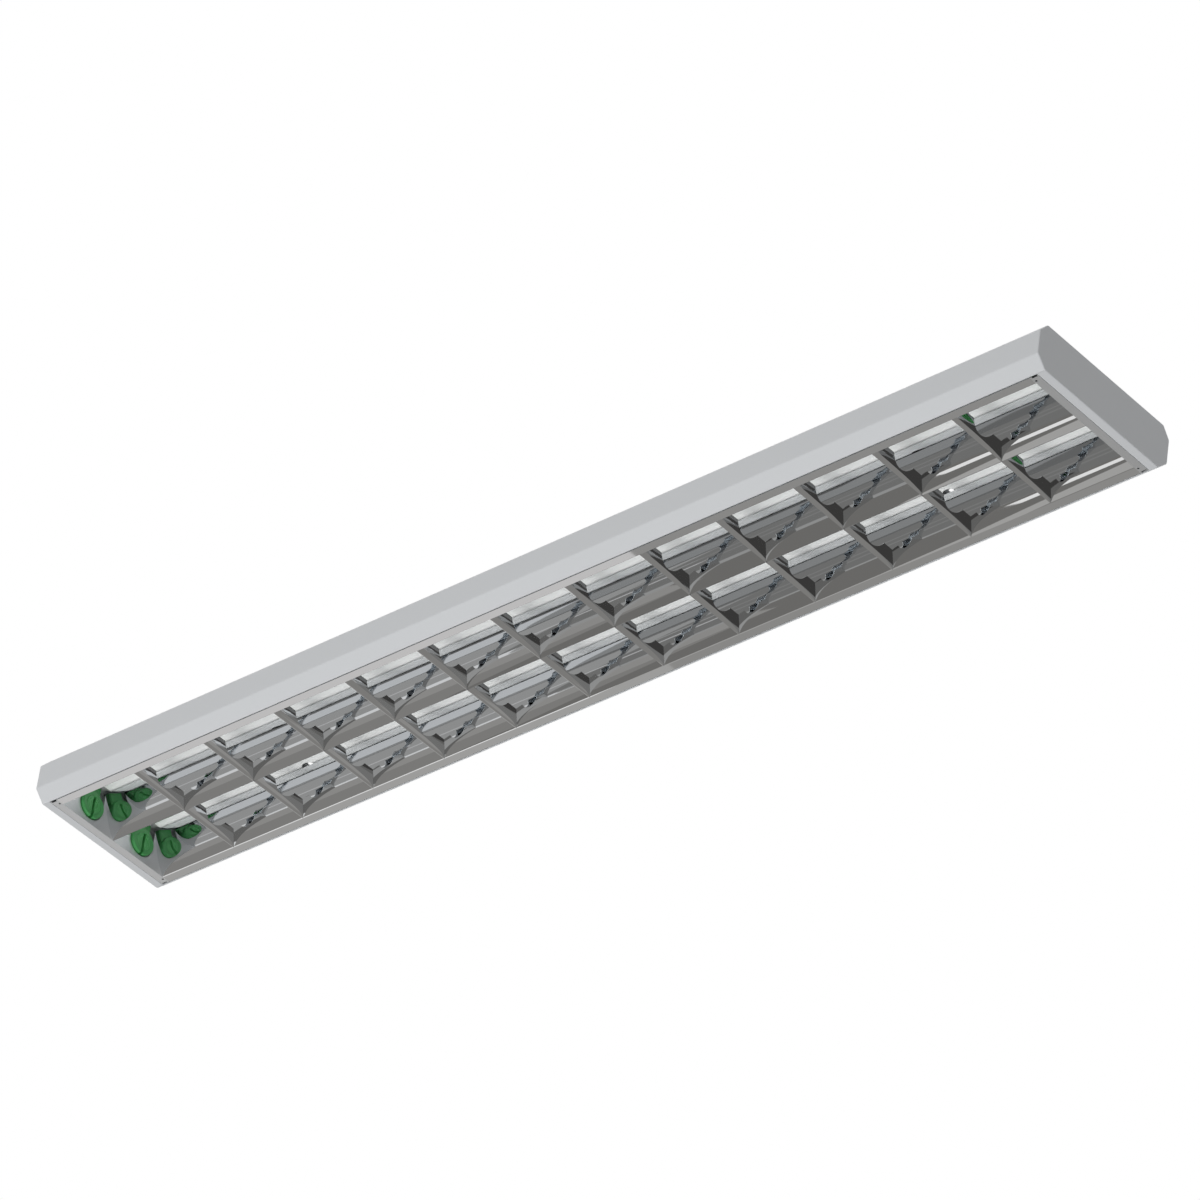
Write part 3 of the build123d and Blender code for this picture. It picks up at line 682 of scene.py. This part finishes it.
class CEILINGLIGHT_OT_gear(bpy.types.Operator):
    """Finishes the control gear, terminals, brackets, screws and clips"""
    bl_idname = "ceiling_light.gear"
    bl_label = "Gear and fixings"

    def execute(self, context):
        # Zinc plating on screws: pale, soft metal shine
        zinc = surface("zinc plated steel", "B9BCBD", 0.38, metallic=1.0, bump_mm=0.004, grain_mm=2)
        # Zinc coated sheet dulls to an even pale grey
        sheet = surface("dull zinc coated sheet", "C6C8C8", 0.55, metallic=0.2)
        spring = surface("rolled spring steel", "A8A9A6", 0.28, metallic=1.0)
        board = surface("circuit board laminate", "3F6B45", 0.6)
        grey = surface("grey moulded nylon", "7A7D80", 0.5)
        white = surface("white moulded polyamide", "E4E3DE", 0.4)
        rubber = surface("black moulded rubber", "1C1C1D", 0.75)
        for name in NODES:
            if "screw" in name:
                finish_node(name, zinc)
            if name.startswith("holder_bracket_"):
                finish_node(name, sheet)
        finish_node("louvre_clips", spring)
        finish_node("gear_circuit", board)
        finish_node("gear_terminals", grey)
        finish_node("terminal_block", white)
        finish_node("cable_grommet", rubber)
        return {"FINISHED"}


def add_lamp(name, place, power):
    """Square white area lamp that shines from a place at the fitting and stays out of mirrors."""
    lamp = bpy.data.lights.new(name, "AREA")
    lamp.shape = "SQUARE"
    lamp.size = LAMP_SIZE
    lamp.energy = power
    made = bpy.data.objects.new(name, lamp)
    made.location = place
    made.rotation_euler = (-Vector(place)).to_track_quat("-Z", "Y").to_euler()
    made.visible_glossy = False
    bpy.context.scene.collection.objects.link(made)


def studio_card(name, tone, low, high):
    """Flat card between two corners that share one coordinate, seen by mirrors and gloss alone."""
    low, high = np.array(low), np.array(high)
    across = [axis for axis in range(3) if high[axis] != low[axis]]
    points = np.tile(low, (4, 1))
    points[1:3, across[0]] = high[across[0]]
    points[2:4, across[1]] = high[across[1]]
    card = add_mesh(name, points, [(0, 1, 2, 3)], card_paper(tone))
    card.visible_camera = card.visible_diffuse = card.visible_shadow = False
    card.visible_transmission = card.visible_volume_scatter = False


def card_paper(tone):
    """Evenly lit card of one tone, which gives matt surfaces white light by way of the mirrors."""
    known = bpy.data.materials.get("lit studio card " + tone)
    if known:
        return known
    material, tree, output = new_material("lit studio card " + tone)
    path = add_node(tree, "ShaderNodeLightPath")
    card = add_node(tree, "ShaderNodeEmission")
    card.inputs["Color"].default_value = linear(CARD_TONES[tone])
    studio = add_node(tree, "ShaderNodeEmission", Strength=settings("stage").mirrored_fill)
    studio.inputs["Color"].default_value = (1, 1, 1, 1)
    mix = add_node(tree, "ShaderNodeMixShader", {
        0: path.outputs["Diffuse Depth"], 1: card.outputs["Emission"],
        2: studio.outputs["Emission"]})
    tree.links.new(mix.outputs["Shader"], output.inputs["Surface"])
    material.cycles.emission_sampling = "NONE"
    return material


def floor_paper():
    """Matt pale paper far below the fitting, lifted towards white where it is seen."""
    paper = surface("matt floor paper", "C4C5C6", 0.9)
    tree = paper.node_tree
    seen = seen_by_camera_or_gloss(tree)
    lift = add_node(tree, "ShaderNodeMath", {0: seen}, operation="MULTIPLY")
    lift.inputs[1].default_value = settings("stage").floor_lift
    shader = next(n for n in tree.nodes if n.type == "BSDF_PRINCIPLED")
    shader.inputs["Emission Color"].default_value = (1, 1, 1, 1)
    tree.links.new(lift.outputs[0], shader.inputs["Emission Strength"])
    return paper


def make_camera():
    """Camera at the photograph's viewing angle, turned about its view direction by the roll."""
    stage = settings("stage")
    lens = bpy.data.cameras.new("photo_camera")
    lens.sensor_width = 36.0
    lens.lens = stage.lens
    lens.clip_end = CAMERA_REACH
    made = bpy.data.objects.new("photo_camera", lens)
    bpy.context.scene.collection.objects.link(made)
    place = Vector(stage.camera_place)
    forward = (Vector(stage.camera_aim) - place).normalized()
    right = forward.cross(Vector((0, 0, 1))).normalized()
    up = right.cross(forward)
    c, s = math.cos(stage.camera_roll), math.sin(stage.camera_roll)
    turned_right = c * right + s * up
    turned_up = c * up - s * right
    axes = Matrix((turned_right, turned_up, -forward)).transposed()
    made.matrix_world = Matrix.Translation(place) @ axes.to_4x4()
    bpy.context.scene.camera = made


def make_world():
    """White for the camera, mirrors and clear surfaces, and a softer fill for the light."""
    world = bpy.data.worlds.new("studio")
    world.use_nodes = True
    tree = world.node_tree
    tree.nodes.clear()
    seen = seen_by_camera_or_gloss(tree)
    fill = add_node(tree, "ShaderNodeBackground", Strength=settings("stage").world_fill)
    white = add_node(tree, "ShaderNodeBackground")
    for background in (fill, white):
        background.inputs["Color"].default_value = (1, 1, 1, 1)
    mix = add_node(tree, "ShaderNodeMixShader", {
        0: seen, 1: fill.outputs["Background"], 2: white.outputs["Background"]})
    add_node(tree, "ShaderNodeOutputWorld", {"Surface": mix.outputs["Shader"]})
    bpy.context.scene.world = world


class CEILINGLIGHT_OT_stage(bpy.types.Operator):
    """Sets the floor, lamps, world and camera"""
    bl_idname = "ceiling_light.stage"
    bl_label = "Stage"

    def execute(self, context):
        stage = settings("stage")
        context.scene.view_settings.view_transform = "Standard"
        # Light goes from mirror to mirror many times inside a louvre
        context.scene.cycles.glossy_bounces = MIRROR_BOUNCES
        make_world()
        make_camera()
        corners = np.array([(-1, -1), (1, -1), (1, 1), (-1, 1)]) * FLOOR_HALF
        points = [(x, y, -stage.floor_drop) for x, y in corners]
        floor = add_mesh("floor", points, [(0, 1, 2, 3)], floor_paper())
        for name, (share, place) in LAMPS.items():
            add_lamp(name, place, share * stage.key_power)
        for name, (tone, low, high) in CARDS.items():
            studio_card(name, tone, low, high)
        return {"FINISHED"}


class CEILINGLIGHT_PT_panel(bpy.types.Panel):
    """Lists the pieces of the ceiling light"""
    bl_label = "Ceiling light"
    bl_space_type = "VIEW_3D"
    bl_region_type = "UI"
    bl_category = "Ceiling light"

    def draw(self, context):
        for operator in OPERATORS:
            self.layout.operator(operator.bl_idname)


OPERATORS = (
    CEILINGLIGHT_OT_housing,
    CEILINGLIGHT_OT_reflectors,
    CEILINGLIGHT_OT_blades,
    CEILINGLIGHT_OT_holders,
    CEILINGLIGHT_OT_gear,
    CEILINGLIGHT_OT_stage,
)
GROUPS = {
    "housing": HousingSettings,
    "louvre": LouvreSettings,
    "holder": HolderSettings,
    "stage": StageSettings,
}


def register():
    """Registers the settings, operators and panel."""
    for name, group in GROUPS.items():
        bpy.utils.register_class(group)
        setattr(bpy.types.Scene, "ceiling_light_" + name, bpy.props.PointerProperty(type=group))
    for operator in OPERATORS:
        bpy.utils.register_class(operator)
    bpy.utils.register_class(CEILINGLIGHT_PT_panel)


def unregister():
    """Takes the panel, operators and settings away again."""
    bpy.utils.unregister_class(CEILINGLIGHT_PT_panel)
    for operator in reversed(OPERATORS):
        bpy.utils.unregister_class(operator)
    for name, group in reversed(list(GROUPS.items())):
        delattr(bpy.types.Scene, "ceiling_light_" + name)
        bpy.utils.unregister_class(group)


def main():
    """Builds every piece."""
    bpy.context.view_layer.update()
    register()
    bpy.ops.ceiling_light.housing()
    bpy.ops.ceiling_light.reflectors()
    bpy.ops.ceiling_light.blades()
    bpy.ops.ceiling_light.holders()
    bpy.ops.ceiling_light.gear()
    bpy.ops.ceiling_light.stage()


if __name__ == "__main__":
    main()
